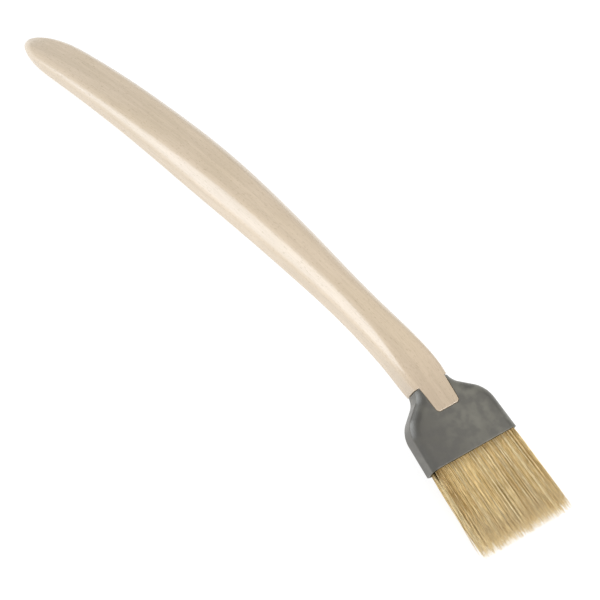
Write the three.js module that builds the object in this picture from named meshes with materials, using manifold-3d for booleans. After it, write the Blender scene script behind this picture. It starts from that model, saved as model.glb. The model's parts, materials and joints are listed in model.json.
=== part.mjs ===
// Bent flat paint brush (radiator brush), 2 inch size, in millimetres, +Z up.
//
// The brush lies on its back as it would on a bench: it stands on the bristle tips and on the
// end of the handle, with the middle arched up. Origin: centre of the footprint, on the bench.
// +Y runs from the bristle tips towards the end of the handle, +X is to the right as the front
// of the brush is seen with its bristles towards the viewer.
//
// The pieces are made in the head's own frame and laid down together at the end. In that frame
// the mouth of the ferrule is the plane Y = 0, the bristles point to -Y, the front face is +Z.

import * as THREE from 'three';
import { mergeVertices } from 'three/addons/utils/BufferGeometryUtils.js';
import Module from 'manifold-3d';

const wasm = await Module();
wasm.setup();

// ---------------------------------------------------------------- driving dimensions

const fitGap = 0.3; // between two pieces that touch

// Ferrule: a moulded fork with two horns that hold the tongue of the handle between them
const ferruleHeight = 38.2; // mouth to the tips of the horns
const ferruleThickness = 12.8; // front face to back face
const mouthWidth = 52.7;
const shoulderWidth = 50.8; // where the straight sides end
const hornWidth = 20.8; // over both horns, at their tips
const ferruleEdgeRun = 6; // how far the rounding of its long edges runs in on the front face
const ferruleEdgeDepth = 3.2; // and down the side
const shoulderRadius = 14.6; // convex curve at the end of the straight side
const shoulderTurn = 52; // degrees that it turns through
const hornRadius = 9; // concave curve that runs up into the horn
const hornTurn = 41.5; // degrees
const ferruleWall = 1.3; // around the bristles
const chamberDepth = 15; // mouth to the web that closes the bristle chamber

// Notch between the horns, open to the front and to the back
const notchBottom = 23.5; // height above the mouth
const notchBottomWidth = 13.9;
const notchTopWidth = 16;
const notchCornerRadius = 2;

// Handle: length along its curve from the shoulders, then its width across and its thickness
// from front to back at each of its stations
const handleLength = 316.5;
const shouldersWidth = 20.6;
const shouldersThickness = 13;
const collarWidth = 21.6;
const collarThickness = 14.2;
const throatWidth = 21;
const throatThickness = 15.6;
const neckWidth = 20.2;
const neckThickness = 17.2;
const gripWidth = 24.6;
const gripThickness = 17;
const bellyWidth = 28.4;
const bellyThickness = 16;
const palmWidth = 27.2;
const palmThickness = 12.8;
const taperWidth = 24.4;
const taperThickness = 10;
const endWidth = 20.8;
const endThickness = 7.8;

// The stations. place is the share of the handle's length from the shoulders, bend is the angle
// in degrees that the handle has turned back from the head's axis, and round is the radius of
// the edges as a share of the thickness.
const handleStations = [
  { place: 0, bend: 2, width: shouldersWidth, thickness: shouldersThickness, round: 0.23 },
  { place: 0.016, bend: 7, width: collarWidth, thickness: collarThickness, round: 0.25 },
  { place: 0.079, bend: 16.5, width: throatWidth, thickness: throatThickness, round: 0.27 },
  { place: 0.19, bend: 20.5, width: neckWidth, thickness: neckThickness, round: 0.3 },
  { place: 0.348, bend: 22.7, width: gripWidth, thickness: gripThickness, round: 0.33 },
  { place: 0.521, bend: 26.6, width: bellyWidth, thickness: bellyThickness, round: 0.335 },
  { place: 0.695, bend: 30.9, width: palmWidth, thickness: palmThickness, round: 0.33 },
  { place: 0.869, bend: 35.6, width: taperWidth, thickness: taperThickness, round: 0.33 },
  { place: 1, bend: 38.4, width: endWidth, thickness: endThickness, round: 0.33 },
];
const tipRounding = 32; // length over which the end rounds off
const tipWidthPower = 2.2; // 2 is an ellipse, more is blunter
const tipThicknessPower = 2.6;

// Tenon: the thin end of the tongue, set in adhesive in the ferrule's socket
const tenonWidth = 9.2;
const tenonThickness = 5.2;
const tenonLength = 7.2;
const tenonEdgeRadius = 1;
const adhesiveThickness = 0.8;
const adhesiveFloor = 1; // under the end of the tenon

// Filling: two rows of bristles with a filler strip between them, bedded in cured resin
const resinHeight = 6.5;
const fillerThickness = 2.4;
const fillerEdgeRadius = 0.4;
const fillerEndMargin = 1.5; // filler strip to the chamber's end walls
const fillerRecess = 1.5; // lower edge of the strip, inside the mouth
const bristleOut = 47.5; // mouth to tips
const bristleSpreadStart = 6; // below the mouth, where the rows have filled out
const bristleSpreadWidth = 50;
const bristleTipWidth = 53.2;
const bristleSpreadThickness = 11;
const bristleTipThickness = 12.8; // both rows together
const bristleEdgeRadius = 1.2;

// ---------------------------------------------------------------- fineness of the meshes

const cornerSegments = 5;
const roundingSegments = 8; // of the ferrule's long edges
const outlineSegments = 12;
const handleStep = 6; // between the handle's sections
const curveStep = 0.5; // between the points that sum up the handle's curve
const tipRings = 10; // sections round the end of the handle
const tipFlat = 0.06; // how far short of a point the end of the handle stops
const smallestCorner = 0.5;
const largestCorner = 0.48; // as a share of the shorter side of a section
const sameVertex = 1e-5; // vertices closer than this are one
const samePoint = 1e-6; // an outline whose ends are closer than this is closed
const cutMargin = 5; // how far a cutting tool runs past the piece

// ---------------------------------------------------------------- derived sizes

const chamberWidth = mouthWidth - 2 * ferruleWall;
const chamberThickness = ferruleThickness - 2 * ferruleWall;
const chamberCornerRadius = Math.max(ferruleEdgeDepth - ferruleWall, smallestCorner);
const fillingWidth = chamberWidth - 2 * fitGap;
const fillingThickness = chamberThickness - 2 * fitGap;
const adhesiveClearance = adhesiveThickness + 2 * fitGap; // tenon to socket, each side
const tongueEnd = notchBottom + fitGap;
const tenonEnd = tongueEnd - tenonLength;
const shoulderPlane = ferruleHeight + fitGap;
const resinTop = chamberDepth - fitGap;
const resinBottom = resinTop - resinHeight;
const rootPlane = resinBottom - fitGap;

// ---------------------------------------------------------------- helpers

function toSolid(geometry) {
  geometry.deleteAttribute('normal');
  geometry.deleteAttribute('uv');
  const merged = mergeVertices(geometry, sameVertex);
  return new wasm.Manifold(new wasm.Mesh({
    numProp: 3,
    vertProperties: new Float32Array(merged.attributes.position.array),
    triVerts: new Uint32Array(merged.index.array),
  }));
}

function toGeometry(solid) {
  const { vertProperties, triVerts } = solid.getMesh();
  const geometry = new THREE.BufferGeometry();
  geometry.setAttribute('position', new THREE.BufferAttribute(vertProperties, 3));
  geometry.setIndex(new THREE.BufferAttribute(triVerts, 1));
  geometry.computeVertexNormals();
  return geometry;
}

// Rounded rectangle around the origin, as a closed outline that runs anticlockwise. Its corner
// radius is limited by its shorter side.
function roundedRectangle(width, height, cornerRadius) {
  const radius = Math.min(cornerRadius, largestCorner * width, largestCorner * height);
  const x = width / 2 - radius;
  const y = height / 2 - radius;
  const shape = new THREE.Shape();
  shape.moveTo(width / 2, -y);
  shape.lineTo(width / 2, y);
  shape.absarc(x, y, radius, 0, Math.PI / 2);
  shape.absarc(-x, y, radius, Math.PI / 2, Math.PI);
  shape.absarc(-x, -y, radius, Math.PI, 1.5 * Math.PI);
  shape.absarc(x, -y, radius, 1.5 * Math.PI, 2 * Math.PI);
  return shape;
}

// Straight bar of that section between two heights in the head (from low to high on Y)
function bar(width, thickness, radius, low, high) {
  const geometry = new THREE.ExtrudeGeometry(roundedRectangle(width, thickness, radius), {
    depth: high - low,
    bevelEnabled: false,
    curveSegments: cornerSegments,
  });
  // the extrusion runs along +Z: turn it to run along +Y
  geometry.rotateX(-Math.PI / 2);
  geometry.translate(0, low, 0);
  return geometry;
}

// Flat plate with the given outline in the XY plane, centred on Z
function plate(shape, thickness) {
  const geometry = new THREE.ExtrudeGeometry(shape, {
    depth: thickness,
    bevelEnabled: false,
    curveSegments: outlineSegments,
  });
  geometry.translate(0, 0, -thickness / 2);
  return geometry;
}

// Closed solid through a row of sections. Each section is a ring of points in space, all with
// the same number of points, in the same turning sense seen from the last section.
function loft(rings) {
  const count = rings[0].length;
  const positions = [];
  const triangles = [];
  const addPoint = (point) => positions.push(point.x, point.y, point.z);
  rings.forEach((ring) => ring.forEach(addPoint));
  for (let r = 0; r < rings.length - 1; r += 1) {
    for (let i = 0; i < count; i += 1) {
      const a = r * count + i;
      const b = r * count + ((i + 1) % count);
      triangles.push(a, b, b + count, a, b + count, a + count);
    }
  }
  const cap = (ring, base, forward) => {
    const centre = new THREE.Vector3();
    ring.forEach((point) => centre.add(point));
    addPoint(centre.divideScalar(count));
    const middle = positions.length / 3 - 1;
    for (let i = 0; i < count; i += 1) {
      const a = base + i;
      const b = base + ((i + 1) % count);
      triangles.push(...(forward ? [middle, a, b] : [middle, b, a]));
    }
  };
  cap(rings[0], 0, false);
  cap(rings[rings.length - 1], (rings.length - 1) * count, true);
  const geometry = new THREE.BufferGeometry();
  geometry.setAttribute('position', new THREE.Float32BufferAttribute(positions, 3));
  geometry.setIndex(triangles);
  return geometry;
}

// Ring of a rounded rectangle, placed at centre with its width on X and its thickness on normal
function ring(centre, normal, width, thickness, radius) {
  const across = new THREE.Vector3(1, 0, 0);
  const points = roundedRectangle(width, thickness, radius).getPoints(cornerSegments);
  if (points[points.length - 1].distanceTo(points[0]) < samePoint) points.pop();
  return points.map((point) => centre.clone()
    .addScaledVector(across, point.x)
    .addScaledVector(normal, point.y)).reverse();
}

// ---------------------------------------------------------------- handle

// Smooth curves through the stations, one for each of these values
const stationValues = ['bend', 'width', 'thickness', 'round'];
const stationCurves = new THREE.CubicInterpolant(
  handleStations.map((station) => station.place),
  handleStations.flatMap((station) => stationValues.map((name) => station[name])),
  stationValues.length,
);

// Form of the handle at a distance from its shoulders
function handleForm(distance) {
  const [bend, width, thickness, round] = stationCurves.evaluate(distance / handleLength);
  const past = Math.max((distance - (handleLength - tipRounding)) / tipRounding, 0);
  const taper = (power) => (1 - past ** power) ** (1 / power);
  return {
    angle: THREE.MathUtils.degToRad(bend),
    width: width * taper(tipWidthPower),
    thickness: thickness * taper(tipThicknessPower),
    edge: round * thickness,
  };
}

// Distances of the handle's sections: even steps, then closer and closer round the tip
function handleDistances() {
  const straight = handleLength - tipRounding;
  const steps = Math.ceil(straight / handleStep);
  const distances = [];
  for (let i = 0; i < steps; i += 1) distances.push((straight * i) / steps);
  for (let i = 0; i < tipRings; i += 1) {
    distances.push(straight + tipRounding * Math.sin((Math.PI / 2) * (i / tipRings)));
  }
  distances.push(handleLength - tipFlat);
  return distances;
}

// Sections of the handle as {centre, normal, form}. The tongue's front face lies flush with the
// ferrule's, and from the shoulders on the middle line turns back as the bend grows.
function handleSections() {
  const shoulders = handleForm(0);
  const centre = new THREE.Vector3(0, shoulderPlane, (ferruleThickness - shoulders.thickness) / 2);
  const sections = [];
  let walked = 0;
  handleDistances().forEach((distance) => {
    const steps = Math.max(Math.ceil((distance - walked) / curveStep), 1);
    const length = (distance - walked) / steps;
    for (let i = 0; i < steps; i += 1) {
      const { angle } = handleForm(walked + (i + 0.5) * length);
      centre.y += length * Math.cos(angle);
      centre.z -= length * Math.sin(angle);
    }
    walked = distance;
    const form = handleForm(distance);
    const normal = new THREE.Vector3(0, Math.sin(form.angle), Math.cos(form.angle));
    sections.push({ centre: centre.clone(), normal, form });
  });
  return sections;
}

// Outline of the tongue or of its notch: it narrows from the horns' tips to the notch's bottom
function tongueOutline(clearance, bottom, top) {
  const slope = (notchTopWidth - notchBottomWidth) / 2 / (ferruleHeight - notchBottom);
  const halfWidth = (height) => notchBottomWidth / 2 + slope * (height - notchBottom) - clearance;
  const radius = notchCornerRadius;
  const shape = new THREE.Shape();
  shape.moveTo(halfWidth(top), top);
  shape.lineTo(-halfWidth(top), top);
  shape.lineTo(-halfWidth(bottom + radius), bottom + radius);
  shape.quadraticCurveTo(-halfWidth(bottom), bottom, -halfWidth(bottom) + radius, bottom);
  shape.lineTo(halfWidth(bottom) - radius, bottom);
  shape.quadraticCurveTo(halfWidth(bottom), bottom, halfWidth(bottom + radius), bottom + radius);
  shape.closePath();
  return shape;
}

function makeHandle(sections) {
  // the blank has its full width down to the end of the tongue
  const blankStart = sections[0].centre.clone().setY(tongueEnd - cutMargin);
  const square = new THREE.Vector3(0, 0, 1);
  const { width, thickness, edge } = sections[0].form;
  const rings = [ring(blankStart, square, width, thickness, edge)];
  sections.forEach(({ centre, normal, form }) => {
    rings.push(ring(centre, normal, form.width, form.thickness, form.edge));
  });
  const blank = toSolid(loft(rings));
  // saw away what is beside and below the tongue
  const waste = new THREE.Shape();
  waste.moveTo(-mouthWidth, tongueEnd - 2 * cutMargin);
  waste.lineTo(mouthWidth, tongueEnd - 2 * cutMargin);
  waste.lineTo(mouthWidth, shoulderPlane);
  waste.lineTo(-mouthWidth, shoulderPlane);
  waste.closePath();
  const depth = 4 * ferruleThickness;
  const tongue = toSolid(plate(tongueOutline(fitGap, tongueEnd, shoulderPlane + cutMargin), depth));
  const cutter = toSolid(plate(waste, depth)).subtract(tongue);
  const tenonTop = tongueEnd + notchCornerRadius;
  const tenon = toSolid(bar(tenonWidth, tenonThickness, tenonEdgeRadius, tenonEnd, tenonTop));
  return toGeometry(blank.subtract(cutter).add(tenon));
}

// ---------------------------------------------------------------- ferrule

// Right half of the outline, from the mouth up: straight side, shoulder, slope, horn
function ferruleSide() {
  const radians = THREE.MathUtils.degToRad;
  const slopeAngle = radians(90 - shoulderTurn); // of the slope, above the horizontal
  const hornAngle = slopeAngle + radians(hornTurn);
  const shoulderRun = shoulderRadius * (1 - Math.sin(slopeAngle));
  const shoulderRise = shoulderRadius * Math.cos(slopeAngle);
  const hornRun = hornRadius * (Math.sin(hornAngle) - Math.sin(slopeAngle));
  const hornRise = hornRadius * (Math.cos(slopeAngle) - Math.cos(hornAngle));
  const slopeRun = (shoulderWidth - hornWidth) / 2 - shoulderRun - hornRun;
  const slopeRise = slopeRun * Math.tan(slopeAngle);
  const shoulderStart = ferruleHeight - hornRise - slopeRise - shoulderRise;
  const side = new THREE.Path();
  side.moveTo(mouthWidth / 2, 0);
  side.lineTo(shoulderWidth / 2, shoulderStart);
  side.absarc(shoulderWidth / 2 - shoulderRadius, shoulderStart, shoulderRadius,
    0, Math.PI / 2 - slopeAngle);
  const hornCentre = new THREE.Vector2(
    hornWidth / 2 + hornRadius * Math.sin(hornAngle),
    ferruleHeight + hornRadius * Math.cos(hornAngle),
  );
  side.absarc(hornCentre.x, hornCentre.y, hornRadius,
    1.5 * Math.PI - slopeAngle, 1.5 * Math.PI - hornAngle, true);
  return side.getPoints(outlineSegments / 2);
}

function makeFerrule() {
  const right = ferruleSide();
  const left = right.map((point) => new THREE.Vector2(-point.x, point.y)).reverse();
  const outline = new THREE.Shape();
  // the plate runs on past the mouth and the horns' tips, further than its edges are rounded
  const overrun = ferruleEdgeRun + cutMargin;
  const below = -overrun;
  const above = ferruleHeight + overrun;
  outline.moveTo(-mouthWidth / 2, below);
  outline.lineTo(mouthWidth / 2, below);
  right.forEach((point) => outline.lineTo(point.x, point.y));
  outline.lineTo(hornWidth / 2, above);
  outline.lineTo(-hornWidth / 2, above);
  left.forEach((point) => outline.lineTo(point.x, point.y));
  outline.closePath();
  const body = new THREE.ExtrudeGeometry(outline, {
    depth: ferruleThickness - 2 * ferruleEdgeDepth,
    bevelThickness: ferruleEdgeDepth,
    bevelSize: ferruleEdgeRun,
    bevelOffset: -ferruleEdgeRun,
    bevelSegments: roundingSegments,
    curveSegments: outlineSegments,
  });
  body.translate(0, 0, ferruleEdgeDepth - ferruleThickness / 2);
  // cut the mouth and the horns' tips square
  const kept = toSolid(bar(2 * mouthWidth, 2 * ferruleThickness, smallestCorner,
    0, ferruleHeight));
  const chamber = toSolid(bar(chamberWidth, chamberThickness, chamberCornerRadius,
    -cutMargin, chamberDepth));
  const notch = toSolid(plate(tongueOutline(0, notchBottom, above), 2 * ferruleThickness));
  const socket = toSolid(bar(tenonWidth + 2 * adhesiveClearance,
    tenonThickness + 2 * adhesiveClearance, tenonEdgeRadius + adhesiveClearance,
    chamberDepth - cutMargin, notchBottom + cutMargin));
  return toGeometry(toSolid(body).intersect(kept).subtract(chamber)
    .subtract(notch).subtract(socket));
}

// ---------------------------------------------------------------- filling

// Cup of cured adhesive: a bar the given amount larger than the tenon all round, hollowed out
function makeAdhesive() {
  const aroundTenon = (margin, low, high) => toSolid(bar(tenonWidth + 2 * margin,
    tenonThickness + 2 * margin, tenonEdgeRadius + margin, low, high));
  const hollowEnd = tenonEnd - fitGap;
  const outside = aroundTenon(fitGap + adhesiveThickness,
    hollowEnd - adhesiveFloor, notchBottom - fitGap);
  const inside = aroundTenon(fitGap, hollowEnd, notchBottom + cutMargin);
  return toGeometry(outside.subtract(inside));
}

function makeResin() {
  return bar(fillingWidth, fillingThickness, chamberCornerRadius, resinBottom, resinTop);
}

function makeFillerStrip() {
  return bar(chamberWidth - 2 * fillerEndMargin, fillerThickness, fillerEdgeRadius,
    fillerRecess, rootPlane);
}

// One row of bristles as a plain solid: front is 1 for the front row, -1 for the back row
function makeBristleRow(front) {
  const innerAtRoot = fillerThickness / 2 + fitGap;
  const inner = fitGap / 2;
  const rootOuter = fillingThickness / 2;
  const spreadOuter = bristleSpreadThickness / 2;
  const levels = [
    { y: rootPlane, width: fillingWidth, inner: innerAtRoot, outer: rootOuter },
    { y: 0, width: fillingWidth, inner: innerAtRoot, outer: rootOuter },
    { y: -bristleSpreadStart, width: bristleSpreadWidth, inner, outer: spreadOuter },
    { y: -bristleOut, width: bristleTipWidth, inner, outer: bristleTipThickness / 2 },
  ];
  const normal = new THREE.Vector3(0, 0, 1);
  const rings = levels.map((level) => {
    const centre = new THREE.Vector3(0, level.y, (front * (level.inner + level.outer)) / 2);
    return ring(centre, normal, level.width, level.outer - level.inner, bristleEdgeRadius);
  });
  return loft(rings.reverse());
}

// ---------------------------------------------------------------- assembly

const lacqueredBeech = { color: 0xd8c6a8, roughness: 0.35, metalness: 0 };
const greyPlastic = { color: 0x74746c, roughness: 0.55, metalness: 0 };
const bristle = { color: 0xc9aa73, roughness: 0.7, metalness: 0 };
const resin = { color: 0xb08a4e, roughness: 0.3, metalness: 0 };
const stripWood = { color: 0xc8ab82, roughness: 0.8, metalness: 0 };
const adhesive = { color: 0xe6dfc8, roughness: 0.4, metalness: 0 };

function piece(name, geometry, look) {
  const mesh = new THREE.Mesh(geometry, new THREE.MeshStandardMaterial(look));
  mesh.name = name;
  return mesh;
}

const sections = handleSections();

const head = new THREE.Group();
head.add(
  piece('handle', makeHandle(sections), lacqueredBeech),
  piece('ferrule', makeFerrule(), greyPlastic),
  piece('tenon_adhesive', makeAdhesive(), adhesive),
  piece('setting_resin', makeResin(), resin),
  piece('filler_strip', makeFillerStrip(), stripWood),
  piece('bristle_row_front', makeBristleRow(1), bristle),
  piece('bristle_row_back', makeBristleRow(-1), bristle),
);

// Lay the brush down on the back edge of its bristle tips and on the back of its handle: the
// angle is the one that lifts the lowest point of the handle's back level with that edge
const tipEdge = new THREE.Vector2(-bristleOut, -bristleTipThickness / 2);
const layDown = Math.max(...sections.map(({ centre, normal, form }) => {
  const y = centre.y - (normal.y * form.thickness) / 2;
  const z = centre.z - (normal.z * form.thickness) / 2;
  return Math.atan2(tipEdge.y - z, y - tipEdge.x);
}));
head.rotation.x = layDown;

const brush = new THREE.Group();
brush.add(head);
brush.updateMatrixWorld(true);
const box = new THREE.Box3().setFromObject(brush, true);
const middle = box.getCenter(new THREE.Vector3());
head.position.set(-middle.x, -middle.y, -box.min.z);

export default brush;
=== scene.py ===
"""The looks of a bent flat paint brush (radiator brush), 2 inch size.

Every piece is made in the head's own frame, in millimetres: the mouth of the ferrule is the
plane Y = 0, the bristles point to -Y and the front face is +Z. HEAD then lays it down in the
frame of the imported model, in metres.
"""

import json
import math

import bmesh
import bpy
import numpy as np
from mathutils import Matrix, Vector, noise


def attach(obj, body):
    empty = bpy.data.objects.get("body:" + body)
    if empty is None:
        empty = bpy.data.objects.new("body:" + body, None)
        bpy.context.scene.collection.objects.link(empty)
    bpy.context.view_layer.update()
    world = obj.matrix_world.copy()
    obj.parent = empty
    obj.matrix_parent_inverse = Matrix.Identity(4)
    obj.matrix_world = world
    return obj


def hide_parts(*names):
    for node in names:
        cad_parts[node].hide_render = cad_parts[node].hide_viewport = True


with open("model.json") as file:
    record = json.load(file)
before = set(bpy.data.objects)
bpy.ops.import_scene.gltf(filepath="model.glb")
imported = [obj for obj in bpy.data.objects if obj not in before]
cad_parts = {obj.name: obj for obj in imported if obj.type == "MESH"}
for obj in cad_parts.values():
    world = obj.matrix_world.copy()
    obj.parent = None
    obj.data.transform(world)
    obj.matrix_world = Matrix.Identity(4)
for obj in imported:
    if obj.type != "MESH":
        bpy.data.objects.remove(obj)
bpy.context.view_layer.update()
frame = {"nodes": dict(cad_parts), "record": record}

# ---------------------------------------------------------------- sizes of the solids, in mm

FIT_GAP = 0.3

FERRULE_HEIGHT = 38.2
FERRULE_THICKNESS = 12.8
MOUTH_WIDTH = 52.7
SHOULDER_WIDTH = 50.8
HORN_WIDTH = 20.8
FERRULE_EDGE_DEPTH = 3.2  # of the rounding of the long edges
SHOULDER_RADIUS = 14.6
SHOULDER_TURN = 52  # degrees that the shoulder's arc turns through
HORN_RADIUS = 9
HORN_TURN = 41.5  # degrees that the horn's arc turns back through
FERRULE_WALL = 1.3
CHAMBER_DEPTH = 15

NOTCH_BOTTOM = 23.5
NOTCH_BOTTOM_WIDTH = 13.9
NOTCH_TOP_WIDTH = 16
NOTCH_CORNER_RADIUS = 2

HANDLE_LENGTH = 316.5
BELLY_THICKNESS = 16
# share of the length, bend in degrees, width, thickness, edge radius as a share of the thickness
HANDLE_STATIONS = [
    (0, 2, 20.6, 13, 0.23),  # shoulders
    (0.016, 5.5, 21.6, 13.3, 0.25),  # collar, a little thinner and less bent than in the solids
    (0.079, 16.5, 21, 15.6, 0.27),  # throat
    (0.19, 20.5, 20.2, 17.2, 0.3),  # neck
    (0.348, 22.7, 24.6, 17, 0.33),  # grip
    (0.521, 26.6, 28.4, BELLY_THICKNESS, 0.335),  # belly
    (0.695, 30.9, 27.2, 12.8, 0.33),  # palm
    (0.869, 35.6, 24.4, 10, 0.33),  # taper
    (1, 38.4, 20.8, 7.8, 0.33),  # end
]
TIP_ROUNDING = 32  # length over which the end is rounded off
TIP_WIDTH_POWER = 2.2
TIP_THICKNESS_POWER = 2.6
TIP_FLAT = 0.06  # left off at the very end, which a small flat face closes

TENON_WIDTH = 9.2
TENON_THICKNESS = 5.2
TENON_LENGTH = 7.2
TENON_EDGE_RADIUS = 1
ADHESIVE_THICKNESS = 0.8

RESIN_HEIGHT = 6.5
FILLER_THICKNESS = 2.4
BRISTLE_OUT = 47.5
BRISTLE_SPREAD_START = 6
BRISTLE_SPREAD_WIDTH = 50
BRISTLE_TIP_WIDTH = 53.2
BRISTLE_SPREAD_THICKNESS = 11
BRISTLE_TIP_THICKNESS = 12.8

CHAMBER_WIDTH = MOUTH_WIDTH - 2 * FERRULE_WALL
CHAMBER_THICKNESS = FERRULE_THICKNESS - 2 * FERRULE_WALL
CHAMBER_CORNER_RADIUS = FERRULE_EDGE_DEPTH - FERRULE_WALL
FILLING_WIDTH = CHAMBER_WIDTH - 2 * FIT_GAP
FILLING_THICKNESS = CHAMBER_THICKNESS - 2 * FIT_GAP
ADHESIVE_CLEARANCE = ADHESIVE_THICKNESS + 2 * FIT_GAP
TENON_END = NOTCH_BOTTOM + FIT_GAP - TENON_LENGTH
SHOULDER_PLANE = FERRULE_HEIGHT + FIT_GAP
ROOT_PLANE = CHAMBER_DEPTH - RESIN_HEIGHT - 2 * FIT_GAP

# ---------------------------------------------------------------- sizes of the finish, in mm

HANDLE_CROWN = 0.5  # how far the faces fall off towards their edges, at the belly
HANDLE_SIDE_CROWN = 0.25
CROWN_RUN = 45  # length from the shoulders over which the crown comes in
EDGE_WIDER = 0.25  # share by which the long edges are wider than in the solids
EDGE_FLATTER = 0.3  # share of the way from round to chamfered
SHOULDER_EDGE = 0.6  # rounding of the shoulders
TONGUE_EDGE = 0.4
TONGUE_GAP = 0.12  # round the tongue, closer than in the solids
TONGUE_END = NOTCH_BOTTOM + TONGUE_GAP
TONGUE_SAG = 0.26  # how far the tongue has bent back where it meets the shoulders
TONGUE_RINGS = 8  # above its rounded lower corners
TENON_CHAMFER = 0.4
HAND_SANDING = 0.15  # how uneven the lacquered surface is
SANDING_SIZE = 22
HANDLE_STEP = 1.6
CURVE_STEP = 0.25  # of the sum along the bent middle line
TIP_RINGS = 22
BEND_RUN_IN = 1.5  # length over which the sections lean over above the flat shoulders
HANDLE_SHARP = 40  # degrees from which an edge is left sharp

FERRULE_ROUNDING_STEPS = 14
FERRULE_TURN = 80  # degrees of the rounding that are kept, so that it meets the front in a crease
FERRULE_ROUNDING_RUN = 4.6  # how far it reaches in over the front
FERRULE_FLATTER = 0.6  # how much less it bends in its middle than at its ends
FERRULE_CROWN = 0.25  # how far the front falls off towards its sides
FERRULE_PANEL_STEPS = 16
FERRULE_ARC_STEPS = 28
FERRULE_SIDE_STEPS = 14
FERRULE_SHARP = 35
NOTCH_EDGE = 0.3
RIM_EDGE = 0.25
RIM_STEPS = 3
RIM_SHARP = 30  # degrees above which an edge on a rim is rounded
RIM_TOLERANCE = 0.001
CUT_MARGIN = 5

# ---------------------------------------------------------------- where the head lies

MM = 0.001
MOUNT_ABOVE_MOUTH = 11  # of the front_face mount, in mm
mount = frame["record"]["mounts"][0]
tilt = math.atan2(-mount["axis"][1], mount["axis"][2])
mount_in_head = Vector((0, MOUNT_ABOVE_MOUTH, FERRULE_THICKNESS / 2)) * MM
HEAD_PLACE = (Matrix.Translation(mount["pos_m"]) @ Matrix.Rotation(tilt, 4, "X")
              @ Matrix.Translation(-mount_in_head))
HEAD = HEAD_PLACE @ Matrix.Scale(MM, 4)

# ---------------------------------------------------------------- meshes


def new_piece(name, points, faces):
    """Mesh object with its normals turned outwards."""
    mesh = bpy.data.meshes.new(name)
    mesh.from_pydata([tuple(map(float, p)) for p in points], [], faces)
    shape = bmesh.new()
    shape.from_mesh(mesh)
    bmesh.ops.recalc_face_normals(shape, faces=shape.faces)
    shape.to_mesh(mesh)
    shape.free()
    piece = bpy.data.objects.new(name, mesh)
    bpy.context.scene.collection.objects.link(piece)
    return piece


def apply_modifiers(piece):
    """Puts what the piece's modifiers make into its mesh."""
    bpy.context.view_layer.update()
    depsgraph = bpy.context.evaluated_depsgraph_get()
    made = bpy.data.meshes.new_from_object(piece.evaluated_get(depsgraph))
    piece.modifiers.clear()
    old = piece.data
    piece.data = made
    bpy.data.meshes.remove(old)
    made.name = piece.name


def cut_away(piece, tool):
    """Takes the tool's shape out of the piece, and the tool out of the scene."""
    cut = piece.modifiers.new("cut", "BOOLEAN")
    cut.operation = "DIFFERENCE"
    cut.solver = "EXACT"
    cut.object = tool
    apply_modifiers(piece)
    bpy.data.meshes.remove(tool.data)


def smooth_with_sharp_edges(piece, degrees):
    """Smooth shading, except over edges that turn by at least this angle."""
    shape = bmesh.new()
    shape.from_mesh(piece.data)
    for face in shape.faces:
        face.smooth = True
    for edge in shape.edges:
        edge.smooth = edge.calc_face_angle(0) < math.radians(degrees)
    shape.to_mesh(piece.data)
    shape.free()


def keep_vectors(piece, name, vectors):
    """Stores a vector for each vertex, for the material to read."""
    attribute = piece.data.attributes.new(name, "FLOAT_VECTOR", "POINT")
    attribute.data.foreach_set("vector", np.asarray(vectors, np.float32).ravel())


def vertex_places(piece):
    places = np.empty(len(piece.data.vertices) * 3, np.float32)
    piece.data.vertices.foreach_get("co", places)
    return places.reshape(-1, 3)


def lay_down(piece, slot_name, material, *nodes):
    """Moves a finished piece from the head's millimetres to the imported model's frame."""
    keep_vectors(piece, "head", vertex_places(piece))
    piece.data.transform(HEAD)
    piece.data.materials.clear()
    piece.data.materials.append(material)
    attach(piece, "root")
    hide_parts(*nodes)


def join_rings(rings):
    """Faces between rings of vertex numbers, and one face to close each end."""
    faces = [list(rings[0]), list(rings[-1])]
    for low, high in zip(rings[:-1], rings[1:]):
        for i in range(len(low)):
            j = (i + 1) % len(low)
            corners = list(dict.fromkeys((low[i], low[j], high[j], high[i])))
            if len(corners) > 2:
                faces.append(corners)
    return faces


# ---------------------------------------------------------------- sections

CORNER_STEPS = 10
EDGE_STEPS = 6  # round the small edges of the shoulders and the notch
FACE_STEPS = 14
SIDE_STEPS = 6
HALF_SECTION = 2 * CORNER_STEPS + FACE_STEPS + SIDE_STEPS  # points in half a section
MOST_RADIUS = 0.49  # as a share of the side, so that two corners never meet


def quarter_turn(steps):
    """Angles from 0 to 90 degrees, in radians."""
    return [math.radians(90 * step / steps) for step in range(steps + 1)]


def quarter_inset(depth, radius):
    """How far a rounding of this radius still lies inside the face, at a depth from its start."""
    left = max(radius - depth, 0)
    return radius - math.sqrt(radius * radius - left * left)


def smooth_step(value):
    value = np.clip(value, 0, 1)
    return value * value * (3 - 2 * value)


def smooth_curve(places, values):
    """Cubic curve through the values. Its slope at each is the mean of those to its neighbours."""
    places = np.asarray(places, float)
    values = np.asarray(values, float)
    secants = np.diff(values, axis=0) / np.diff(places)[:, None]
    slopes = np.vstack([secants[:1], (secants[1:] + secants[:-1]) / 2, secants[-1:]])

    def evaluate(place):
        i = int(np.clip(np.searchsorted(places, place, "right") - 1, 0, len(places) - 2))
        span = places[i + 1] - places[i]
        p = (place - places[i]) / span
        return ((2 * p**3 - 3 * p**2 + 1) * values[i] + (p**3 - 2 * p**2 + p) * span * slopes[i]
                + (3 * p**2 - 2 * p**3) * values[i + 1] + (p**3 - p**2) * span * slopes[i + 1])

    return evaluate


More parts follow.
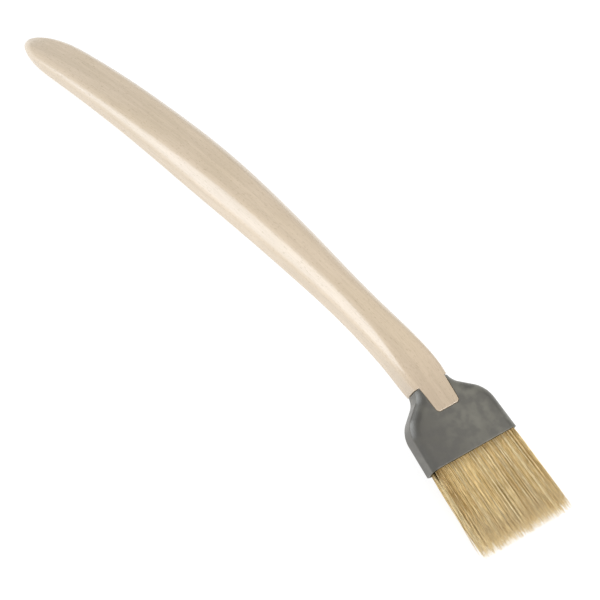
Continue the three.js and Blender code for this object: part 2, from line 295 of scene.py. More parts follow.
def rounded_section(width, thickness, radius, crown=0.0, side_crown=0.0, wider=1.0, flatter=0.0):
    """Rounded rectangle, always with as many points: places and outward directions in (x, z).

    wider stretches the corners along X, and flatter takes them part of the way to chamfers.
    """
    reach = np.array((min(radius * wider, MOST_RADIUS * width),
                      min(radius, MOST_RADIUS * thickness)))
    x, z = np.array((width, thickness)) / 2 - reach
    centres = [(x, z), (-x, z), (-x, -z), (x, -z)]
    places = []
    directions = []
    for number, centre in enumerate(centres):
        start, end = (np.array((math.cos(math.pi / 2 * n), math.sin(math.pi / 2 * n)))
                      for n in (number, number + 1))
        for step in range(CORNER_STEPS + 1):
            share = step / CORNER_STEPS
            angle = math.pi / 2 * (number + share)
            direction = np.array((math.cos(angle), math.sin(angle)))
            chord = start + (end - start) * share
            places.append(np.array(centre) + reach * (direction + flatter * (chord - direction)))
            directions.append(direction)
        following = np.array(centres[(number + 1) % 4]) + reach * directions[-1]
        steps = FACE_STEPS if number % 2 == 0 else SIDE_STEPS
        start = places[-1]
        for step in range(1, steps):
            places.append(start + (following - start) * step / steps)
            directions.append(directions[-1])
    places = np.array(places)
    over = places / (width / 2, thickness / 2)
    places[:, 1] -= crown * np.sign(places[:, 1]) * over[:, 0] ** 2 * np.abs(over[:, 1])
    places[:, 0] -= side_crown * np.sign(places[:, 0]) * over[:, 1] ** 2 * np.abs(over[:, 0])
    return places, np.array(directions)


# ---------------------------------------------------------------- handle

station_curves = smooth_curve([s[0] for s in HANDLE_STATIONS], [s[1:] for s in HANDLE_STATIONS])


def handle_form(distance):
    """Bend in radians, width, thickness and edge radius at a distance from the shoulders."""
    bend, width, thickness, share = station_curves(distance / HANDLE_LENGTH)
    past = max((distance - (HANDLE_LENGTH - TIP_ROUNDING)) / TIP_ROUNDING, 0)
    width *= (1 - past**TIP_WIDTH_POWER) ** (1 / TIP_WIDTH_POWER)
    edge = share * thickness
    thickness *= (1 - past**TIP_THICKNESS_POWER) ** (1 / TIP_THICKNESS_POWER)
    return math.radians(bend), width, thickness, edge


def handle_distances():
    """Close steps over the rounded shoulders, even steps, then closer ones round the tip."""
    rounding = [SHOULDER_EDGE * (1 - math.cos(angle)) for angle in quarter_turn(EDGE_STEPS)]
    straight = HANDLE_LENGTH - TIP_ROUNDING
    even = np.linspace(BEND_RUN_IN, straight, round(straight / HANDLE_STEP))
    tip = [straight + TIP_ROUNDING * math.sin(math.pi / 2 * i / TIP_RINGS)
           for i in range(1, TIP_RINGS)]
    return [*rounding, *even, *tip, HANDLE_LENGTH - TIP_FLAT]


def middle_line(distances):
    """Points of the handle's bent middle line, at these distances from the shoulders."""
    middle = (FERRULE_THICKNESS - handle_form(0)[2]) / 2 - TONGUE_SAG
    centre = Vector((0, SHOULDER_PLANE, middle))
    walked = 0
    for distance in distances:
        steps = max(math.ceil((distance - walked) / CURVE_STEP), 1)
        length = (distance - walked) / steps
        for i in range(steps):
            bend = handle_form(walked + (i + 0.5) * length)[0]
            centre += Vector((0, math.cos(bend), -math.sin(bend))) * length
        walked = distance
        yield centre.copy()


def tongue_half_width(height):
    slope = (NOTCH_TOP_WIDTH - NOTCH_BOTTOM_WIDTH) / 2 / (FERRULE_HEIGHT - NOTCH_BOTTOM)
    return NOTCH_BOTTOM_WIDTH / 2 + slope * (height - NOTCH_BOTTOM)


def tongue_rings():
    """Sections of the tenon and of the tongue as (height, points in (x, z))."""
    thickness = handle_form(0)[2]
    middle = (FERRULE_THICKNESS - thickness) / 2
    thin = rounded_section(TENON_WIDTH - TENON_CHAMFER, TENON_THICKNESS - TENON_CHAMFER,
                           TENON_EDGE_RADIUS)[0]
    tenon = rounded_section(TENON_WIDTH, TENON_THICKNESS, TENON_EDGE_RADIUS)[0]
    rings = [(TENON_END, thin), (TENON_END + TENON_CHAMFER, tenon), (TONGUE_END, tenon)]
    heights = [TONGUE_END + NOTCH_CORNER_RADIUS * (1 - math.cos(angle))
               for angle in quarter_turn(CORNER_STEPS)]
    heights += list(np.linspace(heights[-1], SHOULDER_PLANE, TONGUE_RINGS + 1)[1:])
    for height in heights:
        above = height - TONGUE_END
        half = tongue_half_width(height) - TONGUE_GAP - quarter_inset(above, NOTCH_CORNER_RADIUS)
        flat = thickness - 2 * quarter_inset(above, TONGUE_EDGE)
        places = rounded_section(2 * half, flat, TONGUE_EDGE)[0]
        sag = TONGUE_SAG * (above / (SHOULDER_PLANE - TONGUE_END)) ** 2
        rings.append((height, places + (0, middle - sag)))
    return rings


def step_out_shares():
    """For each point of a section, from 0 on the front and back faces to 1 on the sides.

    At the shoulders the tongue's faces run on into the handle's, and only its sides step out.
    """
    number = np.arange(2 * HALF_SECTION) % HALF_SECTION
    along_corner = np.where(number <= CORNER_STEPS, 1 - number / CORNER_STEPS,
                            (number - CORNER_STEPS - FACE_STEPS) / CORNER_STEPS)
    return smooth_step(along_corner)


def handle_section(distance, stepped):
    """Places and outward directions of the section at a distance from the shoulders."""
    _, width, thickness, edge = handle_form(distance)
    risen = smooth_step(distance / CROWN_RUN)
    share = risen * thickness / BELLY_THICKNESS
    places, directions = rounded_section(width, thickness, edge, HANDLE_CROWN * share,
                                         HANDLE_SIDE_CROWN * share, 1 + EDGE_WIDER * risen,
                                         EDGE_FLATTER * risen)
    inset = quarter_inset(distance, SHOULDER_EDGE)
    return places - directions * (inset * stepped)[:, None], directions


def make_handle(material):
    points = []
    grain = []  # place in the straight piece of wood, with its length along Y
    rings = []
    for height, places in tongue_rings():
        rings.append(range(len(points), len(points) + len(places)))
        points += [(x, height, z) for x, z in places]
        grain += [(x, height - SHOULDER_PLANE, z) for x, z in places]
    stepped = step_out_shares()
    distances = handle_distances()
    for distance, centre in zip(distances, middle_line(distances)):
        bend = handle_form(distance)[0]
        lean = math.sin(bend) * min(distance / BEND_RUN_IN, 1)
        places, directions = handle_section(distance, stepped)
        ring = []
        for i, (x, z) in enumerate(places):
            if distance == 0 and stepped[i] == 0:
                ring.append(rings[-1][i])
                continue
            point = centre + Vector((x, z * lean, z * math.cos(bend)))
            direction = Vector((directions[i][0], 0, directions[i][1]))
            worn = (1 + noise.noise(point / SANDING_SIZE)) / 2 * min(distance / CROWN_RUN, 1)
            ring.append(len(points))
            points.append(point - direction * HAND_SANDING * worn)
            grain.append((x, distance, z))
        rings.append(ring)
    handle = new_piece("handle_wood", points, join_rings(rings))
    keep_vectors(handle, "grain", grain)
    smooth_with_sharp_edges(handle, HANDLE_SHARP)
    lay_down(handle, "lacquered_beech", material, "handle")


# ---------------------------------------------------------------- ferrule


def ferrule_side():
    """Right half of the outline, from the mouth up, as places and outward directions."""
    slope = math.radians(90 - SHOULDER_TURN)
    horn = slope + math.radians(HORN_TURN)
    shoulder_run = SHOULDER_RADIUS * (1 - math.sin(slope))
    horn_run = HORN_RADIUS * (math.sin(horn) - math.sin(slope))
    horn_rise = HORN_RADIUS * (math.cos(slope) - math.cos(horn))
    slope_run = (SHOULDER_WIDTH - HORN_WIDTH) / 2 - shoulder_run - horn_run
    slope_rise = slope_run * math.tan(slope)
    start = FERRULE_HEIGHT - horn_rise - slope_rise - SHOULDER_RADIUS * math.cos(slope)
    shoulder_centre = np.array((SHOULDER_WIDTH / 2 - SHOULDER_RADIUS, start))
    horn_centre = np.array((HORN_WIDTH / 2 + HORN_RADIUS * math.sin(horn),
                            FERRULE_HEIGHT + HORN_RADIUS * math.cos(horn)))
    places = []
    directions = []
    side_turn = math.atan2((MOUTH_WIDTH - SHOULDER_WIDTH) / 2, start)
    for step in range(FERRULE_SIDE_STEPS):
        share = step / FERRULE_SIDE_STEPS
        places.append((MOUTH_WIDTH / 2 + share * (SHOULDER_WIDTH - MOUTH_WIDTH) / 2, share * start))
        directions.append((math.cos(side_turn), math.sin(side_turn)))
    for angle in np.linspace(0, math.pi / 2 - slope, FERRULE_ARC_STEPS):
        direction = np.array((math.cos(angle), math.sin(angle)))
        places.append(shoulder_centre + SHOULDER_RADIUS * direction)
        turned = max(angle, side_turn)
        directions.append((math.cos(turned), math.sin(turned)))
    for angle in np.linspace(math.pi / 2 - slope, math.pi / 2 - horn, FERRULE_ARC_STEPS):
        direction = np.array((math.cos(angle), math.sin(angle)))
        places.append(horn_centre - HORN_RADIUS * direction)
        directions.append(direction)
    # at both ends the outline is moved in along X, to stay in the plane of the cut
    directions = np.array(directions)
    for end in (0, -1):
        directions[end] = (1 / directions[end][0], 0)
    return np.array(places), directions


def ferrule_outline():
    """The outline from the right of the mouth over both horns to its left, and its directions."""
    places, directions = ferrule_side()
    mirror = np.array((-1, 1))
    return (np.vstack([places, places[::-1] * mirror]),
            np.vstack([directions, directions[::-1] * mirror]))


def rounding_levels():
    """Section of the rounded long edges, from the back face to the front, as (inset, z)."""
    shares = np.linspace(0, 1, FERRULE_ROUNDING_STEPS + 1)
    turns = 2 * math.pi * shares
    angles = math.radians(FERRULE_TURN) * (shares + FERRULE_FLATTER * np.sin(turns) / (2 * math.pi))
    angles = (angles[1:] + angles[:-1]) / 2
    insets = np.concatenate([[0], np.cumsum(np.sin(angles))])
    rises = np.concatenate([[0], np.cumsum(np.cos(angles))])
    core = FERRULE_THICKNESS / 2 - FERRULE_EDGE_DEPTH
    front = list(zip(FERRULE_ROUNDING_RUN * insets / insets[-1],
                     core + FERRULE_EDGE_DEPTH * rises / rises[-1]))
    return [(inset, -z) for inset, z in front[::-1]] + front


def panel_rows(points, start, count):
    """Rows of vertex numbers between the mirrored halves of an outline, which begins at start.

    The vertices inside the outline are added to the points.
    """
    rows = []
    for i in range(count // 2):
        mirrored = start + count - 1 - i
        right, left = points[start + i], points[mirrored]
        first = len(points)
        for step in range(1, FERRULE_PANEL_STEPS):
            x = right[0] + (left[0] - right[0]) * step / FERRULE_PANEL_STEPS
            points.append((x, right[1], right[2]))
        rows.append([start + i, *range(first, len(points)), mirrored])
    return rows


def ferrule_blank():
    """Closed plate with the ferrule's outline, its rounded long edges and its crowned faces."""
    places, directions = ferrule_outline()
    levels = rounding_levels()
    count = len(places)
    half = count // 2
    points = []
    for inset, z in levels:
        points += [(x, y, z) for x, y in places - directions * inset]
    faces = []
    for level in range(len(levels) - 1):
        for i in [*range(half - 1), *range(half, count - 1)]:
            a = level * count + i
            faces.append([a, a + 1, a + 1 + count, a + count])
    ends = []
    for start in (0, len(points) - count):
        rows = panel_rows(points, start, count)
        for low, high in zip(rows[:-1], rows[1:]):
            for j in range(FERRULE_PANEL_STEPS):
                faces.append([low[j], low[j + 1], high[j + 1], high[j]])
        ends.append((rows[0], rows[-1]))
    # one face closes the plate across the mouth, and one across the horns' tips
    for (back, front), i in zip(zip(*ends), (0, half - 1)):
        right = [level * count + i for level in range(1, len(levels) - 1)]
        left = [level * count + count - 1 - i for level in range(1, len(levels) - 1)]
        faces.append([*right, *front, *left[::-1], *back[::-1]])
    crowned = []
    for x, y, z in points:
        fall = FERRULE_CROWN * (2 * x / MOUTH_WIDTH) ** 2
        crowned.append((x, y, z * (1 - fall / (FERRULE_THICKNESS / 2))))
    return new_piece("ferrule_shell", crowned, faces)


def bar_tool(width, thickness, radius, low, high):
    """Cutter with a rounded rectangular section, between two heights."""
    section = rounded_section(width, thickness, radius)[0]
    count = len(section)
    points = [(x, y, z) for y in (low, high) for x, z in section]
    return new_piece("tool", points, join_rings([range(count), range(count, 2 * count)]))


def notch_tool():
    """Cutter for the notch, a little wider at both faces, which rounds the edges that it cuts."""
    top = FERRULE_HEIGHT + CUT_MARGIN
    face = FERRULE_THICKNESS / 2
    depths = [NOTCH_EDGE * (1 - math.cos(angle)) for angle in quarter_turn(EDGE_STEPS)]
    front = [(face - depth, quarter_inset(depth, NOTCH_EDGE)) for depth in depths[::-1]]
    front.append((face + CUT_MARGIN, NOTCH_EDGE))
    levels = [(-z, wider) for z, wider in front[::-1]] + front
    points = []
    rings = []
    for z, wider in levels:
        radius = NOTCH_CORNER_RADIUS + wider
        bottom = NOTCH_BOTTOM - wider
        side = []
        for angle in quarter_turn(CORNER_STEPS):
            height = bottom + radius * (1 - math.cos(angle))
            half = tongue_half_width(height) + wider - radius * (1 - math.sin(angle))
            side.append((half, height))
        side.append((tongue_half_width(top) + wider, top))
        outline = side + [(-x, y) for x, y in side[::-1]]
        rings.append(range(len(points), len(points) + len(outline)))
        points += [(x, y, z) for x, y in outline]
    return new_piece("tool", points, join_rings(rings))


def round_rims(ferrule):
    """Rounds the rims of the mouth and of the horns' tips."""
    weights = ferrule.data.attributes.new("bevel_weight_edge", "FLOAT", "EDGE")
    places = vertex_places(ferrule)
    shape = bmesh.new()
    shape.from_mesh(ferrule.data)
    turned = [edge.calc_face_angle(0) > math.radians(RIM_SHARP) for edge in shape.edges]
    shape.free()
    for number, edge in enumerate(ferrule.data.edges):
        heights = places[list(edge.vertices), 1]
        on_rim = [np.abs(heights - plane).max() < RIM_TOLERANCE for plane in (0, FERRULE_HEIGHT)]
        weights.data[number].value = float(turned[number] and any(on_rim))
    rounding = ferrule.modifiers.new("rims", "BEVEL")
    rounding.limit_method = "WEIGHT"
    rounding.width = RIM_EDGE
    rounding.segments = RIM_STEPS
    rounding.use_clamp_overlap = False
    apply_modifiers(ferrule)


def make_ferrule(material):
    ferrule = ferrule_blank()
    chamber = bar_tool(CHAMBER_WIDTH, CHAMBER_THICKNESS, CHAMBER_CORNER_RADIUS,
                       -CUT_MARGIN, CHAMBER_DEPTH)
    cut_away(ferrule, chamber)
    cut_away(ferrule, notch_tool())
    socket = bar_tool(TENON_WIDTH + 2 * ADHESIVE_CLEARANCE,
                      TENON_THICKNESS + 2 * ADHESIVE_CLEARANCE,
                      TENON_EDGE_RADIUS + ADHESIVE_CLEARANCE,
                      CHAMBER_DEPTH - CUT_MARGIN, NOTCH_BOTTOM + CUT_MARGIN)
    cut_away(ferrule, socket)
    round_rims(ferrule)
    smooth_with_sharp_edges(ferrule, FERRULE_SHARP)
    ferrule.modifiers.new("normals", "WEIGHTED_NORMAL").keep_sharp = True
    lay_down(ferrule, "grey_plastic", material, "ferrule")


# ---------------------------------------------------------------- bristles, in mm

BRISTLE_COLUMNS = 260
BRISTLE_LAYERS = 10
BRISTLES = BRISTLE_COLUMNS * BRISTLE_LAYERS  # in each row
BRISTLE_SIDES = 3
BRISTLE_BUTT = 0.29  # thickness at the root
BRISTLE_NECK = 0.22  # where the flagged tip starts
BRISTLE_TIP = 0.035
BRISTLE_RADIUS = BRISTLE_BUTT / 2
THINNEST = 0.8  # as a share of the thickest
# shares of a bristle's length, from its root, at which it has vertices
BRISTLE_HEIGHTS = np.array((0, 0.14, 0.21, 0.29, 0.38, 0.48, 0.58, 0.68, 0.77, 0.85, 0.93, 1))
NECK_HEIGHT = 0.8
LEFT_INSET = 0.8  # the bundle doesn't reach the left end of the chamber
RIGHT_LEAN = 1.1  # its tips lean out to the right
CORNER_AT_MOUTH = 1.5  # rounding of the bundle's corners
CORNER_AT_TIPS = 2.6
MEAN_LOSS = 4.1  # how far the tips stop short of the longest one
OWN_LOSS = 2.8
LOCK_LOSS = 1.4
MOST_LOSS = 11
RIGHT_SHORTER = 0.2  # at the right end of the row
FLOOR_CLEARANCE = 0.15
SURFACE_MARGIN = 0.25  # left for waves inside the row's outer face, at the tips

# locks: neighbours that draw together, share a shade and sway as one
LOCK_COLUMNS = 105
LOCK_LAYERS = 5
LOCKS = LOCK_COLUMNS * LOCK_LAYERS
LOCK_PULL = 0.3  # share of the way to its lock's middle that a tip is drawn
LOCK_SHADE = 0.15  # spread of the shades, which go from 0 to 1
OWN_SHADE = 0.26
MIDDLE_SHADE = 0.5
PALEST = 0.999
LOCK_WAVE = 0.08
OWN_WAVE = 0.1
SHORTEST_WAVE = 20
LONGEST_WAVE = 90
WAVE_RUN_IN = 0.25  # share of the free length over which the waves come in
LOCK_LEAN = 0.36
OWN_LEAN = 0.38
LEAN_POWER = 3  # a tip's lean grows with this power of the free length
STRAYS = 0.02  # share of the bristles
STRAY_LEAN = 1.2
EDGE_INSET = 0.35  # between the bundle's right side and its outermost strays

BRISTLE_TONES = 200  # columns of the map for baking, one for each shade that it tells apart
TONE_FILL = 0.9  # share of its column that a bristle takes up


def scattered(random, columns, layers):
    """One place in each cell of a grid over the row's section, as shares across and outwards."""
    column, layer = np.divmod(np.arange(columns * layers), layers)
    return ((column + random.random(len(column))) / columns,
            (layer + random.random(len(layer))) / layers)


def row_sides(below, out, free):
    """X of the leftmost and of the rightmost bristle, which spread out towards the tips."""
    half_width = (FILLING_WIDTH + below * (BRISTLE_SPREAD_WIDTH - FILLING_WIDTH)
                  + out * (BRISTLE_TIP_WIDTH - BRISTLE_SPREAD_WIDTH)) / 2
    return (LEFT_INSET + BRISTLE_RADIUS - half_width,
            half_width - BRISTLE_RADIUS + RIGHT_LEAN * out - EDGE_INSET * free)


def row_faces(from_side, below, out, free):
    """Z of the innermost and of the outermost bristle, at a distance from the nearer side."""
    inner_root = FILLER_THICKNESS / 2 + FIT_GAP
    inner = inner_root + smooth_step(below) * (FIT_GAP / 2 - inner_root) + BRISTLE_RADIUS
    corner = CORNER_AT_MOUTH + (CORNER_AT_TIPS - CORNER_AT_MOUTH) * free
    in_corner = np.clip(corner - from_side, 0, corner)
    outer = (FILLING_THICKNESS + below * (BRISTLE_SPREAD_THICKNESS - FILLING_THICKNESS)
             + out * (BRISTLE_TIP_THICKNESS - BRISTLE_SPREAD_THICKNESS)) / 2 - BRISTLE_RADIUS
    outer += np.sqrt(corner**2 - in_corner**2) - corner
    return inner, outer


def add_sway(random, values, y, free, lock):
    """Adds long waves, a lock's and a bristle's own, and tips that lean their own way."""
    settle = smooth_step(free / WAVE_RUN_IN)
    for size, owner, number in ((LOCK_WAVE, lock, LOCKS), (OWN_WAVE, np.arange(BRISTLES), BRISTLES)):
        wave = random.uniform(SHORTEST_WAVE, LONGEST_WAVE, number)[owner, None]
        phase = random.uniform(0, 2 * math.pi, number)[owner, None]
        height = random.normal(0, size, number)[owner, None]
        values += settle * height * np.sin(2 * math.pi * y / wave + phase)
    stray = 1 + STRAY_LEAN / OWN_LEAN * (random.random(BRISTLES) < STRAYS)
    lean = random.normal(0, LOCK_LEAN, LOCKS)[lock] + random.normal(0, OWN_LEAN, BRISTLES) * stray
    values += free**LEAN_POWER * lean[:, None]


def bench_height(y):
    """Z of the surface that the brush lies on, with the clearance over it, at these Y."""
    return (FLOOR_CLEARANCE - HEAD_PLACE.translation.z / MM - y * math.sin(tilt)) / math.cos(tilt)


def bristle_lines(random, front):
    """Middles of a row's bristles as (bristle, level, xyz), and the shade of each."""
    across, depth = scattered(random, BRISTLE_COLUMNS, BRISTLE_LAYERS)
    lock_across, lock_depth = scattered(random, LOCK_COLUMNS, LOCK_LAYERS)
    flatness = BRISTLE_TIP_THICKNESS / 2 / BRISTLE_TIP_WIDTH
    lock = ((across[:, None] - lock_across) ** 2
            + (flatness * (depth[:, None] - lock_depth)) ** 2).argmin(axis=1)

    loss = random.normal(MEAN_LOSS, OWN_LOSS, BRISTLES) + random.normal(0, LOCK_LOSS, LOCKS)[lock]
    tip = np.clip(loss, 0, MOST_LOSS) + RIGHT_SHORTER * across - BRISTLE_OUT
    y = ROOT_PLANE + BRISTLE_HEIGHTS * (tip - ROOT_PLANE)[:, None]
    # shares of the way from the mouth to where the bundle spreads, on to the tips, and of both
    below = np.clip(-y / BRISTLE_SPREAD_START, 0, 1)
    out = np.clip((-y - BRISTLE_SPREAD_START) / (BRISTLE_OUT - BRISTLE_SPREAD_START), 0, 1)
    free = np.clip(-y / BRISTLE_OUT, 0, 1)

    pull = LOCK_PULL * free
    left, right = row_sides(below, out, free)
    share = across[:, None] + pull * (lock_across[lock] - across)[:, None]
    x = left + (right - left) * share
    inner, outer = row_faces(np.minimum(x - left, right - x), below, out, free)
    share = depth[:, None] + pull * (lock_depth[lock] - depth)[:, None]
    z = inner + (outer - SURFACE_MARGIN * free - inner) * share
    for values in (x, z):
        add_sway(random, values, y, free, lock)
    reach = STRAY_LEAN * free**LEAN_POWER
    x = np.clip(x, left - reach / 2, right + EDGE_INSET * free + reach / 2)
    z = np.clip(z, inner - BRISTLE_RADIUS, outer + BRISTLE_RADIUS * free) * front
    z = np.maximum(z, bench_height(y) + BRISTLE_RADIUS)
    shade = (MIDDLE_SHADE + random.normal(0, LOCK_SHADE, LOCKS)[lock]
             + random.normal(0, OWN_SHADE, BRISTLES))
    return np.stack([x, y, z], axis=-1), np.clip(shade, 0, PALEST)


def bristle_faces(levels):
    """Faces of all the bristles, whose vertices are numbered round each level from the root."""
    corners = np.arange(BRISTLE_SIDES)
    following = (corners + 1) % BRISTLE_SIDES
    base = (np.arange(BRISTLES) * levels * BRISTLE_SIDES)[:, None, None]
    low = base + (np.arange(levels - 1) * BRISTLE_SIDES)[None, :, None]
    quads = np.stack([low + corners, low + following, low + BRISTLE_SIDES + following,
                      low + BRISTLE_SIDES + corners], axis=-1)
    root_caps = base[:, 0] + corners[::-1]
    tip_caps = base[:, 0] + (levels - 1) * BRISTLE_SIDES + corners
    return quads.reshape(-1, 4).tolist() + root_caps.tolist() + tip_caps.tolist()


def keep_bristle_facts(row, shade, levels):
    """Stores shade and share of the length for the material, and both as a map for baking."""
    tone = (np.floor(shade * BRISTLE_TONES) + 0.5) / BRISTLE_TONES
    facts = {"tone": np.repeat(tone, levels * BRISTLE_SIDES),
             "along": np.tile(np.repeat(BRISTLE_HEIGHTS, BRISTLE_SIDES), BRISTLES)}
    for fact, values in facts.items():
        attribute = row.data.attributes.new(fact, "FLOAT", "POINT")
        attribute.data.foreach_set("value", values.astype(np.float32))
    vertices = np.empty(len(row.data.loops), np.int32)
    row.data.loops.foreach_get("vertex_index", vertices)
    corner = vertices % BRISTLE_SIDES
    u = facts["tone"][vertices] + (corner / (BRISTLE_SIDES - 1) - 0.5) * TONE_FILL / BRISTLE_TONES
    uv_map = row.data.uv_layers.new(name="OFBake")
    uv_map.data.foreach_set("uv", np.stack([u, facts["along"][vertices]], axis=-1).ravel())


def bristle_row(name, front, seed, material, node):
    """One row of separate bristles. front is 1 for the front row, -1 for the back row."""
    random = np.random.default_rng(seed)
    lines, shade = bristle_lines(random, front)
    levels = len(BRISTLE_HEIGHTS)
    thickness = np.interp(BRISTLE_HEIGHTS, (0, NECK_HEIGHT, 1),
                          (BRISTLE_BUTT, BRISTLE_NECK, BRISTLE_TIP))
    thickness = thickness * random.uniform(THINNEST, 1.0, BRISTLES)[:, None]
    corners = np.arange(BRISTLE_SIDES)
    angle = (random.uniform(0, 2 * math.pi, BRISTLES)[:, None]
             + 2 * math.pi * corners / BRISTLE_SIDES)
    around = np.stack([np.cos(angle), 0 * angle, np.sin(angle)], axis=-1)
    places = lines[:, :, None] + thickness[:, :, None, None] / 2 * around[:, None]
    row = new_piece(name, places.reshape(-1, 3), bristle_faces(levels))
    keep_bristle_facts(row, shade, levels)
    row.data.shade_smooth()
    lay_down(row, "bristle", material, node)


# ---------------------------------------------------------------- materials


class Finish:
    """A material with a principled surface, and short ways to add nodes to it."""

    def __init__(self, name, **settings):
        self.material = bpy.data.materials.new(name)
        self.material.use_nodes = True
        self.tree = self.material.node_tree
        self.surface = self.tree.nodes["Principled BSDF"]
        for socket, value in settings.items():
            self.surface.inputs[socket.replace("_", " ")].default_value = value

    def node(self, kind, inputs=(), **settings):
        """New node. Its inputs are given by name or number, as values or as outputs to link."""
        made = self.tree.nodes.new("ShaderNode" + kind)
        for setting, value in settings.items():
            setattr(made, setting, value)
        for socket, value in dict(inputs).items():
            self.set(made.inputs[socket], value)
        return made

    def set(self, socket, value):
        if isinstance(value, bpy.types.NodeSocket):
            self.tree.links.new(value, socket)
        else:
            socket.default_value = value

    def stored(self, name):
        """What the mesh stores under this name: a vector, or a number in Fac."""
        return self.node("Attribute", attribute_name=name)

    def noise(self, vector, scale, detail=2.0, roughness=0.5, distortion=0.0):
        made = self.node("TexNoise", {"Vector": vector, "Scale": scale, "Detail": detail,
                                      "Roughness": roughness, "Distortion": distortion})
        return made.outputs[0]

    def stretched_noise(self, vector, scales, detail=2.0, roughness=0.5, distortion=0.0):
        """Noise with as many features to a unit of length as scales says for X, Y and Z."""
        made = self.node("VectorMath", {0: vector, 1: scales}, operation="MULTIPLY")
        return self.noise(made.outputs[0], 1.0, detail, roughness, distortion)

    def between(self, value, low, high, to_low=0.0, to_high=1.0):
        """Maps low..high of a value smoothly to to_low..to_high."""
        made = self.node("MapRange", {0: value, 1: low, 2: high, 3: to_low, 4: to_high},
                         interpolation_type="SMOOTHSTEP")
        return made.outputs[0]

    def mix(self, share, colour, other, blend="MIX"):
        made = self.node("Mix", {0: share, 6: colour, 7: other}, data_type="RGBA", blend_type=blend)
        return made.outputs[2]

    def patches(self, colour, other, pattern, low, high, most):
        """Mixes in the other colour, up to a share of most, as the pattern goes from low to high."""
        return self.mix(self.between(pattern, low, high, 0, most), colour, other)

    def ramp(self, value, stops):
        """Colours at places from 0 to 1."""
        made = self.node("ValToRGB", {0: value})
        elements = made.color_ramp.elements
        while len(elements) < len(stops):
            elements.new(1.0)
        for element, (place, colour) in zip(elements, stops):
            element.position = place
            element.color = colour
        return made.outputs[0]

    def paint(self, colour):
        self.set(self.surface.inputs["Base Color"], colour)

    def roughen(self, roughness):
        self.set(self.surface.inputs["Roughness"], roughness)

    def bump(self, height, strength, distance):
        made = self.node("Bump", {"Height": height, "Strength": strength, "Distance": distance})
        self.set(self.surface.inputs["Normal"], made.outputs[0])


def screen_colour(red, green, blue):
    """Linear colour from its 0..255 values on a screen."""
    def channel(value):
        value /= 255
        return value / 12.92 if value <= 0.04045 else ((value + 0.055) / 1.055) ** 2.4
    return (channel(red), channel(green), channel(blue), 1)


BEECH_PALE = screen_colour(214, 193, 165)
BEECH_WARM = screen_colour(209, 188, 158)
BEECH_GROWTH = screen_colour(176, 156, 128)
BEECH_FIBRES = screen_colour(173, 153, 125)
BEECH_SPECKS = screen_colour(208, 192, 164)
BEECH_RAYS = screen_colour(152, 128, 96)
BEECH_PAINTED_SHADE_AT_HEAD = (0.8, 0.775, 0.75, 1)  # factor of painted shade, which darkens the wood towards the head
BEECH_SHADE_FULL_AT = -15  # mm from the shoulders
BEECH_SHADE_GONE_AT = 30

PLASTIC_DARK = screen_colour(80, 79, 70)
PLASTIC_LIGHT = screen_colour(94, 93, 83)
PLASTIC_MOTTLE = screen_colour(40, 40, 35)
PLASTIC_SPECKS = screen_colour(118, 116, 107)
PLASTIC_PAINTED_SHADE_AT_LEFT = (0.36, 0.36, 0.36, 1)  # factor of painted shade, which darkens the ferrule towards its left
PLASTIC_SHADE_FULL_AT = -28  # X in mm
PLASTIC_SHADE_GONE_AT = 14

BRISTLE_DARK = screen_colour(176, 140, 80)
BRISTLE_MIDDLE = screen_colour(254, 226, 164)
BRISTLE_PALE = screen_colour(255, 240, 200)
# painted shade on the bristles where they leave the mouth
BRISTLE_PAINTED_SHADE_AT_MOUTH = screen_colour(150, 116, 66)
BRISTLE_FLECKS = (0.76, 0.72, 0.64, 1)  # factor

FILLER_PALE = screen_colour(190, 160, 118)
FILLER_WARM = screen_colour(214, 188, 148)
RESIN_PALE = screen_colour(186, 146, 84)
RESIN_DEEP = screen_colour(150, 108, 52)
ADHESIVE_PALE = screen_colour(236, 228, 206)
ADHESIVE_DEEP = screen_colour(214, 202, 172)
CLOUD_ROUGHER = 0.2  # how much rougher resin and adhesive are where they are cloudiest


def lacquered_beech():
    """Pale beech with fibres, growth bands, specks and ray flecks, under a clear coat, with painted
    shade darkening it towards the head.
    """
    finish = Finish("lacquered_beech", Coat_Weight=1.0, Coat_Roughness=0.23, Coat_IOR=2.1,
                    Specular_IOR_Level=0.5)
    grain = finish.stored("grain").outputs["Vector"]
    # scales are features to a millimetre, and the grain runs along Y
    fibres = finish.stretched_noise(grain, (2.4, 0.07, 2.4), detail=3.0, roughness=0.6)
    growth = finish.stretched_noise(grain, (0.22, 0.006, 0.22), distortion=0.6)
    clouds = finish.stretched_noise(grain, (0.07, 0.03, 0.07))
    rays = finish.stretched_noise(grain, (2.1, 0.55, 2.1), detail=1.0, roughness=0.4,
                                  distortion=0.3)
    specks = finish.stretched_noise(grain, (1.3, 1.0, 1.3), roughness=0.6)
    colour = finish.mix(finish.between(clouds, low=0.3, high=0.7), BEECH_PALE, BEECH_WARM)
    colour = finish.patches(colour, BEECH_GROWTH, pattern=growth, low=0.45, high=0.62, most=0.25)
    colour = finish.patches(colour, BEECH_FIBRES, pattern=fibres, low=0.35, high=0.75, most=0.3)
    colour = finish.patches(colour, BEECH_SPECKS, pattern=specks, low=0.56, high=0.7, most=0.3)
    colour = finish.patches(colour, BEECH_RAYS, pattern=rays, low=0.62, high=0.72, most=0.35)
    length = finish.node("SeparateXYZ", {0: grain}).outputs[1]
    # painted shade: the wood is darkened towards the head
    painted_shade_near_head = finish.between(length, BEECH_SHADE_FULL_AT, BEECH_SHADE_GONE_AT, 1, 0)
    finish.paint(finish.mix(painted_shade_near_head, colour, BEECH_PAINTED_SHADE_AT_HEAD, "MULTIPLY"))
    finish.roughen(finish.between(fibres, low=0.3, high=0.7, to_low=0.45, to_high=0.55))
    finish.bump(fibres, strength=0.12, distance=0.00006)
    return finish.material


